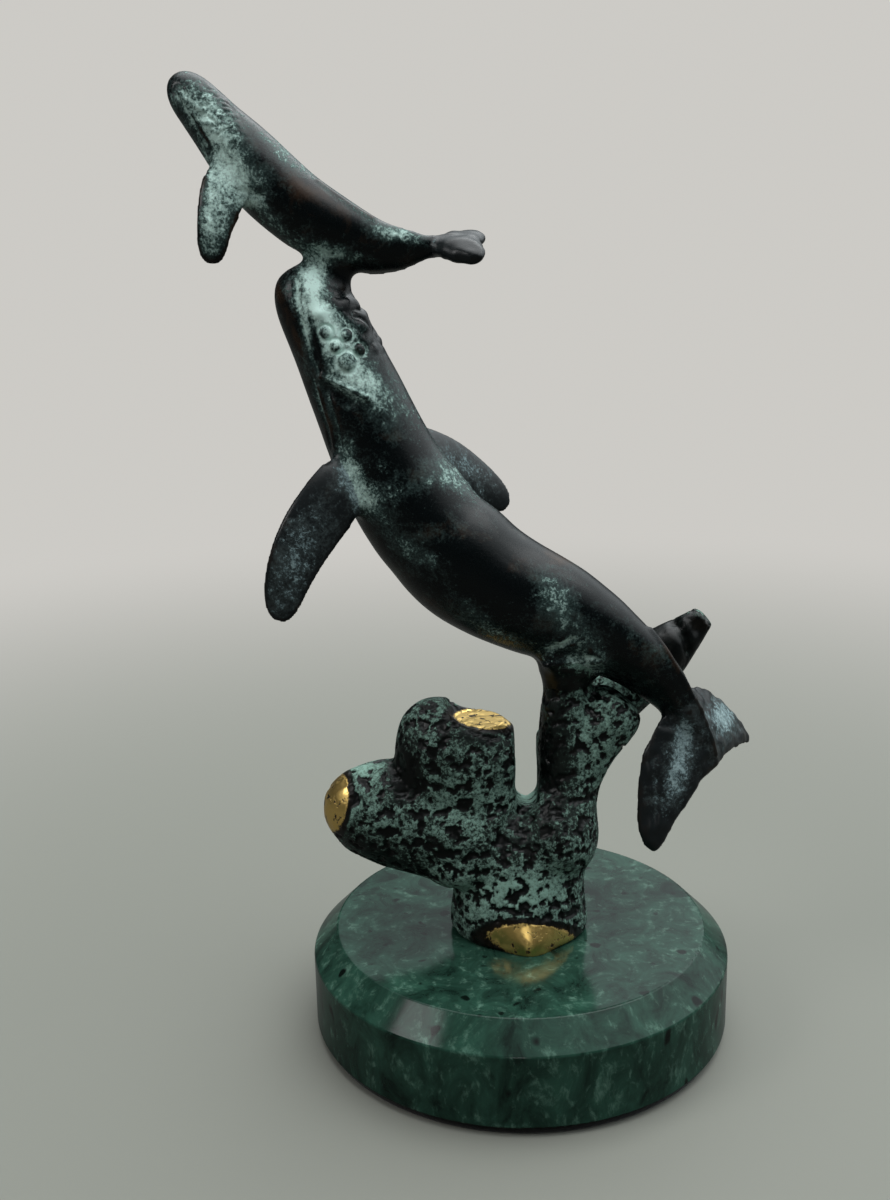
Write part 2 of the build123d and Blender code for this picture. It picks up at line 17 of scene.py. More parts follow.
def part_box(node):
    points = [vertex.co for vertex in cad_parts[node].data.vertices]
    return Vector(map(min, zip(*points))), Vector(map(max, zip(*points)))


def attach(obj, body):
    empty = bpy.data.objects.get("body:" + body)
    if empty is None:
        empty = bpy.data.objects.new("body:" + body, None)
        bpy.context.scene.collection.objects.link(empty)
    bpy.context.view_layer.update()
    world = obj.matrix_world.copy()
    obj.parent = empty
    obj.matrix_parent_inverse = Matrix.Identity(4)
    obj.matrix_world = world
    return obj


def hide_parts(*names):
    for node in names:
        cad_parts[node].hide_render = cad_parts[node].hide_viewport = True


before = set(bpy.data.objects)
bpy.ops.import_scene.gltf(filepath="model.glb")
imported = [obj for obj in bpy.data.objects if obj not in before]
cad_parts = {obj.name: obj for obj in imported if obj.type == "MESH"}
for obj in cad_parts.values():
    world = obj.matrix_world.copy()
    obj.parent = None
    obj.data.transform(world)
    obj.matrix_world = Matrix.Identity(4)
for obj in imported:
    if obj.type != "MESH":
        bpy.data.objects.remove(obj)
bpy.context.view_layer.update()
scene = bpy.context.scene
scene.view_settings.view_transform = "Standard"
MM = 0.001

# %% [markdown]
# The camera comes before the pieces, because small marks are placed by where they show in the
# photograph. The two circles of the marble disc fix the camera: the eye's place in millimetres
# and three turns in degrees. A sight line through a pixel then meets the bronze at the point
# that the pixel shows, so that a mark placed with it sits on the metal, seen from any side.

# %% Camera at the photograph's viewing angle
PHOTO_WIDTH = 890
PHOTO_HEIGHT = 1200
FOCAL_PIXELS = 1293.6
SENSOR = 36.0
EYE = Vector((0.0, -287.2, 178.7)) * MM
PAN = math.radians(3.28)
TILT = math.radians(14.39)
LEAN = math.radians(-1.21)

level = math.radians(90) - TILT
turn = Matrix.Rotation(PAN, 4, "Z") @ Matrix.Rotation(level, 4, "X") @ Matrix.Rotation(LEAN, 4, "Z")
camera_data = bpy.data.cameras.new("photo_camera")
camera_data.sensor_width = SENSOR
camera_data.lens = FOCAL_PIXELS / PHOTO_HEIGHT * SENSOR
camera_data.clip_start = 10 * MM
camera = bpy.data.objects.new("photo_camera", camera_data)
camera.matrix_world = Matrix.Translation(EYE) @ turn
scene.collection.objects.link(camera)
scene.camera = camera


def sight_line(pixel):
    """The direction from the eye through a pixel of the photograph."""
    across = (pixel[0] - PHOTO_WIDTH / 2) / FOCAL_PIXELS
    up = (PHOTO_HEIGHT / 2 - pixel[1]) / FOCAL_PIXELS
    return (turn.to_3x3() @ Vector((across, up, -1))).normalized()


print("lens", round(camera_data.lens, 2), "mm")

# %% [markdown]
# Every colour below is written as it looks on a screen and turned into the shaders' linear light
# by one function. Another adds a shader node: it sets the node up, links or sets its inputs and
# hands back an output. A pattern's scale comes from the size of its features in millimetres.


# %% Colour and node helpers
def linear(hex_colour):
    """An sRGB hex colour as the linear colour that the shaders work in."""
    shares = [int(hex_colour[i : i + 2], 16) / 255 for i in (1, 3, 5)]
    return [s / 12.92 if s <= 0.04045 else ((s + 0.055) / 1.055) ** 2.4 for s in shares] + [1.0]


def add(tree, kind, inputs=(), out=0, **settings):
    """Adds a node with its settings, links or sets its inputs, and returns one of its outputs."""
    node = tree.nodes.new("ShaderNode" + kind)
    for name, value in settings.items():
        setattr(node, name, value)
    for key, value in dict(inputs).items():
        if isinstance(value, bpy.types.NodeSocket):
            tree.links.new(value, node.inputs[key])
        else:
            node.inputs[key].default_value = value
    return node.outputs[out] if node.outputs else None


def new_material(name):
    """An empty node material and its tree."""
    material = bpy.data.materials.new(name)
    material.use_nodes = True
    material.node_tree.nodes.clear()
    return material, material.node_tree


def per_mm(size):
    """The texture scale that gives features of this many millimetres."""
    return 1 / (size * MM)


# A colour mix has its factor in socket 0, its colours in sockets 6 and 7 and its result in output 2.
COLOUR_MIX = {"out": 2, "data_type": "RGBA"}
print("helpers ready, mid grey is", round(linear("#808080")[0], 3))

# %% [markdown]
# Dark metal shows its form by what it mirrors. The surround is pale to the eye, and as light it
# is bright above, on the right, and dim on the eye's side, so the flanks stay dark and the backs
# catch a soft sheen. Two softboxes add the highlights, and a narrow spot from the front lights the
# polished foot. The floor fades into the surround, and it throws back less light than it shows, as
# if a dark cloth lay round the figure.

# %% Surround
SURROUND = "#dddbd6"
SURROUND_STRENGTH = 0.84
COOL_LIGHT = "#d9e0e3"
DIM_LIGHT = 0.06
BRIGHT_LIGHT = 2.8
LIGHT_SIDE = Vector((0.4, 0.25, 0.88)).normalized()

world = bpy.data.worlds.new("studio_surround")
scene.world = world
world.use_nodes = True
sky = world.node_tree
sky.nodes.clear()
direction = add(sky, "TexCoord", out="Generated")
facing = add(sky, "VectorMath", {0: direction, 1: LIGHT_SIDE}, out="Value", operation="DOT_PRODUCT")
light = add(
    sky,
    "MapRange",
    {"Value": facing, "From Min": 0.45, "From Max": 0.85, "To Min": DIM_LIGHT, "To Max": BRIGHT_LIGHT},
)
seen = add(sky, "LightPath", out="Is Camera Ray")
strength = add(sky, "MapRange", {"Value": seen, "To Min": light, "To Max": SURROUND_STRENGTH})
tint = add(sky, "Mix", {0: seen, 6: linear(COOL_LIGHT), 7: linear(SURROUND)}, **COLOUR_MIX)
glow = add(sky, "Background", {"Color": tint, "Strength": strength})
add(sky, "OutputWorld", {"Surface": glow})
print("surround brightest towards", [round(x, 2) for x in LIGHT_SIDE])


# %% Floor
def link_mesh(name, form):
    """A new object from a bmesh, shaded smooth."""
    mesh = bpy.data.meshes.new(name)
    form.to_mesh(mesh)
    form.free()
    mesh.shade_smooth()
    made = bpy.data.objects.new(name, mesh)
    scene.collection.objects.link(made)
    return made


FLOOR_GREY = "#777870"
FLOOR_BOUNCE = "#4a4a45"
FLOOR_SIZE = 4.0
floor_paint, tree = new_material("matt_floor_paint")
place = add(tree, "TexCoord", out="Object")
distance = add(tree, "VectorMath", {0: place}, out="Value", operation="LENGTH")
far = add(
    tree,
    "MapRange",
    {"Value": distance, "From Min": 0.12, "From Max": 0.6},
    interpolation_type="SMOOTHSTEP",
)
seen = add(tree, "LightPath", out="Is Camera Ray")
far = add(tree, "Math", {0: far, 1: seen}, operation="MULTIPLY")
grey = add(tree, "Mix", {0: seen, 6: linear(FLOOR_BOUNCE), 7: linear(FLOOR_GREY)}, **COLOUR_MIX)
paint = add(tree, "BsdfPrincipled", {"Base Color": grey, "Roughness": 0.85})
haze = add(tree, "Emission", {"Color": linear(SURROUND), "Strength": SURROUND_STRENGTH})
surface = add(tree, "MixShader", {0: far, 1: paint, 2: haze})
add(tree, "OutputMaterial", {"Surface": surface})

form = bmesh.new()
bmesh.ops.create_grid(form, x_segments=1, y_segments=1, size=FLOOR_SIZE)
floor = link_mesh("studio_floor", form)
floor.data.materials.append(floor_paint)
print("floor", 2 * FLOOR_SIZE, "m wide")


# %% Lamps
def hang(lamp_data, place, target):
    """Hangs a lamp at a place and turns it to a target, both in millimetres."""
    lamp = bpy.data.objects.new(lamp_data.name, lamp_data)
    lamp.location = Vector(place) * MM
    aim = Vector(target) * MM - lamp.location
    lamp.rotation_euler = aim.to_track_quat("-Z", "Y").to_euler()
    scene.collection.objects.link(lamp)
    print(lamp.name, "aims along", [round(x, 2) for x in aim.normalized()])


for name, place, side, power in (
    ("overhead_softbox", (80, 80, 640), 700, 3.2),
    ("side_softbox", (-600, -300, 560), 300, 1.8),
):
    softbox = bpy.data.lights.new(name, "AREA")
    softbox.size = side * MM
    softbox.energy = power
    hang(softbox, place, (-10, 0, 110))
spot = bpy.data.lights.new("foot_spot", "SPOT")
spot.energy = 1.0
spot.shadow_soft_size = 60 * MM
spot.spot_size = math.radians(12)
spot.spot_blend = 0.6
hang(spot, (5, -370, 135), (8, -25, 22))

# %% [markdown]
# Patinated bronze is cast metal that acids have coloured: a black-brown ground waxed to a satin,
# a thin grey-green haze over it, and a chalky crust of copper salts, verdigris, where the acid
# lay longest. Haze and crust follow an amount painted on each piece, broken up by clouds and
# grain. A second painted amount is rubbing: a little lets brown through, much of it leaves bare
# golden metal with the pits of the casting. The thin wax mirrors little, so the specular level is
# low. One function makes the three finishes of this bronze.


# %% Bronze finishes
def patinated_bronze(name, ground, worn, haze, chalks, cloud_mm, blotch_mm, satin):
    """Cast bronze with a dark waxed ground, haze and verdigris where painted, bare where rubbed."""
    material, tree = new_material(name)
    place = add(tree, "TexCoord", out="Object")
    crust = add(tree, "Attribute", out="Fac", attribute_name="verdigris")
    rubbed = add(tree, "Attribute", out="Fac", attribute_name="rubbed")
    look = {"Vector": place, "Detail": 6, "Roughness": 0.66, "Distortion": 0.5}
    clouds = add(tree, "TexNoise", {**look, "Scale": per_mm(cloud_mm)})
    blotches = add(tree, "TexNoise", {**look, "Scale": per_mm(blotch_mm)})
    grain = add(tree, "TexNoise", {**look, "Scale": per_mm(0.6), "Detail": 3})

    # Rubbing takes the crust off first, then lets brown through.
    wear = add(tree, "MapRange", {"Value": rubbed, "From Min": 0.15, "From Max": 0.5})
    crust = add(tree, "Math", {0: wear, 1: -1.6, 2: crust}, operation="MULTIPLY_ADD")
    brown = add(tree, "Math", {0: clouds, 1: 2.0, 2: rubbed}, operation="MULTIPLY_ADD")
    brown = add(tree, "MapRange", {"Value": brown, "From Min": 1.15, "From Max": 1.7})
    base = add(tree, "Mix", {0: brown, 6: linear(ground), 7: linear(worn)}, **COLOUR_MIX)

    # The haze is thin and drifts, the crust is thick and breaks into grains.
    drift = add(tree, "Math", {0: clouds, 1: 2.0, 2: crust}, operation="MULTIPLY_ADD")
    drift = add(tree, "Math", {0: blotches, 1: 1.6, 2: drift}, operation="MULTIPLY_ADD")
    drift = add(tree, "Math", {0: grain, 1: 1.5, 2: drift}, operation="MULTIPLY_ADD")
    thin = add(tree, "MapRange", {"Value": drift, "From Min": 2.5, "From Max": 3.5})
    base = add(tree, "Mix", {0: thin, 6: base, 7: linear(haze)}, **COLOUR_MIX)
    lumps = add(tree, "Math", {0: blotches, 1: 2.6, 2: crust}, operation="MULTIPLY_ADD")
    lumps = add(tree, "Math", {0: grain, 1: 2.2, 2: lumps}, operation="MULTIPLY_ADD")
    cover = add(
        tree,
        "MapRange",
        {"Value": lumps, "From Min": 2.8, "From Max": 3.4},
        interpolation_type="SMOOTHSTEP",
    )
    pale = add(tree, "MapRange", {"Value": lumps, "From Min": 3.05, "From Max": 4.1})
    chalk = add(tree, "Mix", {0: pale, 6: linear(chalks[0]), 7: linear(chalks[1])}, **COLOUR_MIX)
    patina = add(tree, "Mix", {0: cover, 6: base, 7: chalk}, **COLOUR_MIX)

    # Bare metal, less the pits.
    pits = add(tree, "TexNoise", {**look, "Scale": per_mm(1.8), "Detail": 3})
    bare = add(tree, "Math", {0: blotches, 1: 0.6, 2: rubbed}, operation="MULTIPLY_ADD")
    bare = add(
        tree, "MapRange", {"Value": bare, "From Min": 0.95, "From Max": 1.1}, interpolation_type="SMOOTHSTEP"
    )
    clean = add(tree, "MapRange", {"Value": pits, "From Min": 0.37, "From Max": 0.43})
    bare = add(tree, "Math", {0: bare, 1: clean}, operation="MULTIPLY")
    colour = add(tree, "Mix", {0: bare, 6: patina, 7: linear("#ecc878")}, **COLOUR_MIX)

    matt = add(tree, "Math", {0: grain, 1: 0.5, 2: cover}, operation="MULTIPLY_ADD")
    dull = add(tree, "MapRange", {"Value": matt, "From Min": 0.22, "To Min": satin, "To Max": 0.8})
    rough = add(tree, "MapRange", {"Value": bare, "To Min": dull, "To Max": 0.32})
    height = add(tree, "Math", {0: grain, 1: matt, 2: bare}, operation="MULTIPLY_ADD")
    relief = add(tree, "Bump", {"Height": height, "Distance": 0.12 * MM, "Strength": 0.5})
    shader = add(
        tree,
        "BsdfPrincipled",
        {
            "Base Color": colour,
            "Metallic": bare,
            "Roughness": rough,
            "Normal": relief,
            "Specular IOR Level": 0.2,
        },
    )
    add(tree, "OutputMaterial", {"Surface": shader})
    return material


skin_bronze = patinated_bronze(
    "cast_bronze_dark_patina", "#060b0c", "#35261a", "#384846", ("#3f5853", "#cde9e0"), 9, 2.2, 0.24
)
fin_bronze = patinated_bronze(
    "cast_bronze_slate_patina", "#171b1c", "#241d17", "#465050", ("#5d7174", "#a4b9b9"), 8, 1.8, 0.28
)
coral_bronze = patinated_bronze(
    "rough_cast_bronze_verdigris", "#050807", "#15100b", "#17211d", ("#1b2721", "#86a89a"), 7, 1.3, 0.3
)
print("bronze finishes", skin_bronze.name, fin_bronze.name, coral_bronze.name)

# %% [markdown]
# The disc is green marble, a serpentine stone: dark green, clouded, with pale flecks a few
# millimetres long. It was turned and polished, so it mirrors the studio. The solid already has
# the turned profile with its bevel and eased edges, so it stays and only gets this stone. The
# stud, washer, nut and pins are hidden, and plain turned steel is enough for them.


# %% Marble, felt and steel
def green_marble():
    """Polished dark green stone with clouds, pale flecks and a few near-black grains."""
    material, tree = new_material("polished_green_marble")
    place = add(tree, "TexCoord", out="Object")
    upright = add(tree, "Mapping", {"Vector": place, "Scale": (1, 1, 0.6)})
    look = {"Vector": upright, "Roughness": 0.68}
    clouds = add(tree, "TexNoise", {**look, "Scale": per_mm(9), "Detail": 7, "Distortion": 0.6})
    flecks = add(tree, "TexNoise", {**look, "Scale": per_mm(2.4), "Detail": 5, "Distortion": 0.4})
    grains = add(tree, "TexNoise", {**look, "Scale": per_mm(5), "Detail": 1})
    deep = add(tree, "MapRange", {"Value": clouds, "From Min": 0.34, "From Max": 0.66})
    colour = add(tree, "Mix", {0: deep, 6: linear("#0d1d17"), 7: linear("#2b4c3f")}, **COLOUR_MIX)
    both = add(tree, "Math", {0: clouds, 1: 0.6, 2: flecks}, operation="MULTIPLY_ADD")
    pale = add(
        tree, "MapRange", {"Value": both, "From Min": 0.82, "From Max": 1.16}, interpolation_type="SMOOTHSTEP"
    )
    colour = add(tree, "Mix", {0: pale, 6: colour, 7: linear("#5b7b6c")}, **COLOUR_MIX)
    dark = add(tree, "MapRange", {"Value": grains, "From Min": 0.66, "From Max": 0.72})
    colour = add(tree, "Mix", {0: dark, 6: colour, 7: linear("#07100c")}, **COLOUR_MIX)
    shader = add(
        tree,
        "BsdfPrincipled",
        {"Base Color": colour, "Roughness": 0.14, "IOR": 1.56, "Specular IOR Level": 0.14},
    )
    add(tree, "OutputMaterial", {"Surface": shader})
    return material


def wool_felt():
    """Black pressed felt: no gloss, a dusty sheen and a nap that takes the light unevenly."""
    material, tree = new_material("black_wool_felt")
    place = add(tree, "TexCoord", out="Object")
    nap = add(tree, "TexNoise", {"Vector": place, "Scale": per_mm(0.7), "Detail": 4})
    colour = add(tree, "Mix", {0: nap, 6: linear("#050505"), 7: linear("#191918")}, **COLOUR_MIX)
    relief = add(tree, "Bump", {"Height": nap, "Distance": 0.2 * MM, "Strength": 0.8})
    shader = add(
        tree,
        "BsdfPrincipled",
        {"Base Color": colour, "Roughness": 1.0, "Normal": relief, "Sheen Weight": 0.2},
    )
    add(tree, "OutputMaterial", {"Surface": shader})
    return material


def turned_steel():
    """Turned steel: bright grey, with a gloss that the tool's fine lines break up."""
    material, tree = new_material("turned_steel")
    place = add(tree, "TexCoord", out="Object")
    lines = add(tree, "TexNoise", {"Vector": place, "Scale": per_mm(0.6), "Detail": 3})
    rough = add(tree, "MapRange", {"Value": lines, "To Min": 0.28, "To Max": 0.5})
    shader = add(
        tree, "BsdfPrincipled", {"Base Color": linear("#a9aaa8"), "Metallic": 1.0, "Roughness": rough}
    )
    add(tree, "OutputMaterial", {"Surface": shader})
    return material


stone = green_marble()
felt = wool_felt()
steel = turned_steel()
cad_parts["marble_base"].material_slots[0].material = stone
for node in ("mounting_stud", "flat_washer", "hex_nut", "belly_dowel", "calf_dowel"):
    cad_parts[node].material_slots[0].material = steel
print("materials", stone.name, felt.name, steel.name)

# %% [markdown]
# The felt under the disc is a stamped round of pressed wool, two millimetres thick, glued on. A
# circle is filled, pulled up to the stone and rounded at its rim, and then its rim is pushed in
# and out a little, because shears leave felt slightly uneven.

# %% Felt disc
FELT_SEGMENTS = 160
FELT_ROUND = 0.6
FELT_WOBBLE_SIZE = 2.5
FELT_WOBBLE = 0.15
felt_low, felt_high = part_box("felt_pad")
felt_radius = (felt_high.x - felt_low.x) / 2
form = bmesh.new()
bmesh.ops.create_circle(form, cap_ends=True, segments=FELT_SEGMENTS, radius=felt_radius)
lifted = bmesh.ops.extrude_face_region(form, geom=form.faces[:])["geom"]
top = [part for part in lifted if isinstance(part, bmesh.types.BMVert)]
bmesh.ops.translate(form, verts=top, vec=(0, 0, felt_high.z))
rims = [edge for edge in form.edges if len(edge.link_faces) == 2 and edge.calc_face_angle() > 1]
bmesh.ops.bevel(
    form, geom=rims, offset=FELT_ROUND * MM, segments=3, profile=0.5, affect="EDGES", material=-1
)
for vert in form.verts:
    wobble = noise.noise(vert.co / (FELT_WOBBLE_SIZE * MM)) * FELT_WOBBLE * MM
    vert.co.xy *= 1 - abs(wobble) / felt_radius
bmesh.ops.recalc_face_normals(form, faces=form.faces)
felt_disc = link_mesh("felt_disc", form)
felt_disc.data.materials.append(felt)
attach(felt_disc, "root")
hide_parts("felt_pad")
print("felt", round(felt_radius / MM, 1), "mm in radius")

# %% [markdown]
# A foundry joins its castings with fillets, so that nothing shows how many pieces there were.
# The voxel Remesh modifier fuses the overlapping shells into one even skin. Its small steps are
# smoothed out by turns of shrinking and growing, which keep thin fins and crisp keels. Then the
# skin is smoothed harder near each joint, in three rings of shrinking reach, which draws a soft
# fillet where two castings meet. The coral is melted a little more.

# %% Fuse the castings
CASTINGS = (
    "coral",
    "belly_weld",
    "whale_body",
    "whale_left_flipper",
    "whale_right_flipper",
    "whale_flukes",
    "calf_post",
    "calf_body",
    "calf_left_flipper",
    "calf_right_flipper",
    "calf_flukes",
)
PINS = ("belly_dowel", "calf_dowel")
VOXEL = 0.45 * MM

castings = bmesh.new()
node_trees = {}
for node in CASTINGS + PINS:
    castings.from_mesh(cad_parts[node].data)
    form = bmesh.new()
    form.from_mesh(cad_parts[node].data)
    node_trees[node] = BVHTree.FromBMesh(form)
    form.free()
bmesh.ops.remove_doubles(castings, verts=castings.verts, dist=MM / 1000)
fused = link_mesh("fused_castings", castings)
remesh = fused.modifiers.new("fuse", "REMESH")
remesh.mode = "VOXEL"
remesh.voxel_size = VOXEL
fused_mesh = bpy.data.meshes.new_from_object(fused.evaluated_get(bpy.context.evaluated_depsgraph_get()))
bpy.data.objects.remove(fused)
skin = bmesh.new()
skin.from_mesh(fused_mesh)
print("fused skin", len(skin.verts), "points")

# %% Fillet the joints
STEP_ROUNDS = 8
KEEP_VOLUME = (0.5, -0.53)
CORAL_ROUNDS = 16
FILLET_RINGS = ((4.0, 30), (2.6, 30), (1.4, 30))
REACH = 6.0 * MM


def smooth(form, verts, rounds, factors=(0.5,)):
    """Draws points towards the middle of their neighbours, or away from it by a negative factor."""
    for factor in factors * rounds:
        bmesh.ops.smooth_vert(
            form, verts=verts, factor=factor, use_axis_x=True, use_axis_y=True, use_axis_z=True
        )


def points_of(form):
    """The places of a bmesh's points, one row each."""
    return np.array([vert.co for vert in form.verts])


def distances(points):
    """How far each point is from each casting's own solid, out to a short reach."""
    found = np.full((len(points), len(CASTINGS)), REACH)
    for column, node in enumerate(CASTINGS):
        low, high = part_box(node)
        inside = (points > np.array(low) - REACH) & (points < np.array(high) + REACH)
        for row in np.flatnonzero(inside.all(axis=1)):
            gap = node_trees[node].find_nearest(points[row], REACH)[3]
            found[row, column] = REACH if gap is None else gap
    return found


skin.verts.ensure_lookup_table()
smooth(skin, skin.verts[:], STEP_ROUNDS, KEEP_VOLUME)
gaps = distances(points_of(skin))
coral_verts = [skin.verts[i] for i in np.flatnonzero(gaps.argmin(axis=1) == CASTINGS.index("coral"))]
smooth(skin, coral_verts, CORAL_ROUNDS)
second = np.sort(gaps, axis=1)[:, 1]
for reach, rounds in FILLET_RINGS:
    ring = [skin.verts[i] for i in np.flatnonzero(second < reach * MM)]
    smooth(skin, ring, rounds)
    print("fillet reach", reach, "mm on", len(ring), "points")

# %% [markdown]
# The heads carry the finest work, so the skin is divided once more there. A head is mirrored in
# its own middle plane: what the photograph shows on this side gets its like on the other side.
# Then each point is given to the casting whose solid is nearest. A fin gives way a little to its
# body, so that the seam lies outside the fillet, where the real one shows as a crisp edge.

# %% Middle planes of the heads
# Each patch: the pixel of its middle, and its reach in millimetres.
FINE_PATCHES = {"whale": ((342, 345), 10.5), "calf": ((203, 112), 7.5)}
# Each head: where its middle line starts and ends, in millimetres across and up, and a pixel of its crown.
HEAD_SPANS = {
    "whale": ((-44.5, 172.6), (-29.0, 137.4), (369, 330)),
    "calf": ((-70.0, 216.6), (-62.9, 209.0), (226, 106)),
}


def on_skin(pixel, tree):
    """The point where the sight line through a pixel meets a skin."""
    point = tree.ray_cast(EYE, sight_line(pixel))[0]
    if point is None:
        raise ValueError(f"no skin at pixel {pixel}")
    return point


skin_tree = BVHTree.FromBMesh(skin)
planes = {}
for name, (top, foot, crown) in HEAD_SPANS.items():
    start = Vector((top[0], 0, top[1])) * MM
    run = Vector((foot[0] - top[0], 0, foot[1] - top[1]))
    side = run.cross(on_skin(crown, skin_tree) - start).normalized()
    planes[name] = (start, side)
    print(name, "head faces", [round(x, 2) for x in side])


def mirrored(point, name):
    """A point's mirror image in the middle plane of a head."""
    start, side = planes[name]
    return point - 2 * (point - start).dot(side) * side


# %% Divide the skin on the heads
centres = []
for name, (pixel, reach) in FINE_PATCHES.items():
    near = on_skin(pixel, skin_tree)
    far = skin_tree.find_nearest(mirrored(near, name))[0]
    centres += [(near, reach * MM), (far, reach * MM)]
fine = [
    edge
    for edge in skin.edges
    if any((edge.verts[0].co - centre).length < reach for centre, reach in centres)
]
bmesh.ops.subdivide_edges(skin, edges=fine, cuts=1, use_grid_fill=True)
print("divided", len(fine), "edges, now", len(skin.verts), "points")

# %% Which casting each point belongs to
SEAM_SHIFT = 0.8 * MM
skin.verts.ensure_lookup_table()
skin.verts.index_update()
share = distances(points_of(skin))
for column, node in enumerate(CASTINGS):
    if "flipper" in node or "flukes" in node:
        share[:, column] += SEAM_SHIFT
owner = share.argmin(axis=1)
is_coral = owner == CASTINGS.index("coral")
print("coral points", int(is_coral.sum()), "of", len(owner))

# %% [markdown]
# Chasing is the work of small tools on the cast skin. A liner presses a groove along a line, or
# leaves a ridge between two. A ring punch leaves a knob: a dome with a sunk ring round it. Each
# tool adds to one list of lifts, and at the end every point moves along its own normal. The top of
# the coral's lobe is ground flat first.


# %% Chasing tools
def normals_of(form):
    """The normals of a bmesh's points, one row each."""
    form.normal_update()
    return np.array([vert.normal for vert in form.verts])


def move(offsets):
    """Moves the skin's points by one offset each."""
    for vert, offset in zip(skin.verts, offsets):
        vert.co += Vector(offset)


def both_sides(pixels, name):
    """The places that some pixels show on a head, and their mirror images on its other side."""
    near = [on_skin(pixel, skin_tree) for pixel in pixels]
    far = [skin_tree.find_nearest(mirrored(point, name))[0] for point in near]
    return near, far


def hidden(point):
    """Whether the skin at a point faces well away from the eye."""
    return skin_tree.find_nearest(point)[1].dot(EYE - point) < -0.3 * (EYE - point).length


def line_distance(line):
    """How far each point of the skin is from a line through several places."""
    nearest = np.full(len(points), 1.0)
    for start, end in zip(line, line[1:]):
        run = np.array(end - start)
        along = np.clip((points - np.array(start)) @ run / (run @ run), 0, 1)
        gap = np.linalg.norm(points - np.array(start) - along[:, None] * run, axis=1)
        nearest = np.minimum(nearest, gap)
    return nearest


def draw_line(line, width, height):
    """Lifts a ridge along a line, or presses a groove where the height is negative."""
    return height * MM * np.exp(-((line_distance(line) / (width * MM)) ** 2))


def punch_knob(centre, radius, height):
    """Lifts a dome and sinks a ring round it; also the paint: a pale ring, a dark edge, a dull top."""
    way = np.linalg.norm(points - np.array(centre), axis=1) / radius
    dome = np.sqrt(np.clip(1 - way * way, 0, 1))
    ring = np.clip(1 - ((way - 1.25) / 0.35) ** 2, 0, 1)
    edge = np.clip(1 - ((way - 0.95) / 0.2) ** 2, 0, 1)
    return height * MM * (dome - 0.35 * ring), 0.3 * ring - 0.3 * edge - 0.45 * dome


# %% Grind the top of the lobe flat
LOBE_EDGE_PIXEL = (483, 729)
GROUND_RADIUS = 7.0
GROUND_EASE = 2.5
skin_tree = BVHTree.FromBMesh(skin)
lobe_edge = on_skin(LOBE_EDGE_PIXEL, skin_tree)
points = points_of(skin)
middle = np.array(lobe_edge) + np.array((0, GROUND_RADIUS * MM, 0))
away = np.linalg.norm((points - middle)[:, :2], axis=1) / MM
ease = np.clip((GROUND_RADIUS + GROUND_EASE - away) / GROUND_EASE, 0, 1)
cut = np.clip(points[:, 2] - lobe_edge.z, 0, None) * ease * is_coral
move(np.stack([0 * cut, 0 * cut, -cut], axis=1))
print("ground off up to", round(float(cut.max()) / MM, 2), "mm")

# %% Knobs and lines of the heads
# Each knob: its pixel, across and down, and its radius in pixels.
KNOB_PIXELS = (
    (325.4, 332.5, 6.0),
    (346.6, 334.6, 6.0),
    (335.6, 346.2, 6.0),
    (360.3, 349.0, 6.0),
    (347.3, 361.5, 9.0),
)
KNOB_HEIGHT = 0.8
# Each line: the pixels it runs through, its width and its height in millimetres.
HEAD_LINES = {
    "whale": (
        (((296.5, 280), (298, 303), (301, 321), (307.5, 343), (312, 359), (318, 374)), 0.5, -0.6),
        (((303, 300), (309, 332), (315, 351), (319, 369)), 0.6, -0.35),
        (((321, 377), (333, 382), (353, 392), (366, 398)), 0.8, 0.8),
        (((327, 387), (337, 393), (350, 401)), 2.0, -0.9),
        (((319, 388), (325, 407), (332, 427), (335, 446)), 0.8, 0.5),
        (((325, 392), (331, 410), (337, 428), (339, 444)), 0.6, -0.55),
        (((313, 380), (320, 404), (327, 428), (330, 446)), 0.5, -0.4),
        (((340.5, 314), (353, 329), (366, 350)), 0.5, -0.4),
    ),
    "calf": (
        (((174, 92), (184.5, 108), (196, 127), (206, 145)), 0.5, -0.4),
        (((176, 87), (181, 88.5), (185.5, 94)), 0.5, -0.35),
    ),
}
SINGLE_LINES = (
    (((547, 659), (560, 666), (580, 666), (600, 658)), 2.0, 0.8),
    (((547, 649), (558, 647), (572, 640)), 0.7, -0.6),
    (((674, 622), (684, 637), (689, 652)), 1.3, -1.4),
    (((654, 755), (656, 804), (654, 826)), 0.6, -0.35),
    (((682, 732), (684, 755)), 4.0, -0.7),
    (((650, 630), (664, 648), (676, 668), (687, 686), (699, 708), (709, 733), (715, 754)), 0.8, 0.7),
    (((318, 181), (334, 193), (352, 206), (372, 218)), 0.8, 0.35),
    (((212, 170), (210, 194), (209, 216)), 0.5, -0.25),
    (((238, 192), (249, 193), (264, 197)), 0.7, -0.3),
)
# Each swelling: its pixel, its reach and its height in millimetres.
SWELLINGS = (
    ((319, 314), 1.4, 0.7),
    ((553, 661), 2.6, 1.4),
    ((566, 684), 2.4, 0.7),
    ((672, 640), 5.0, 0.8),
    ((699, 629), 2.2, -1.4),
    ((656, 834), 4.5, 0.7),
    ((531, 946), 5.0, 2.2),
)

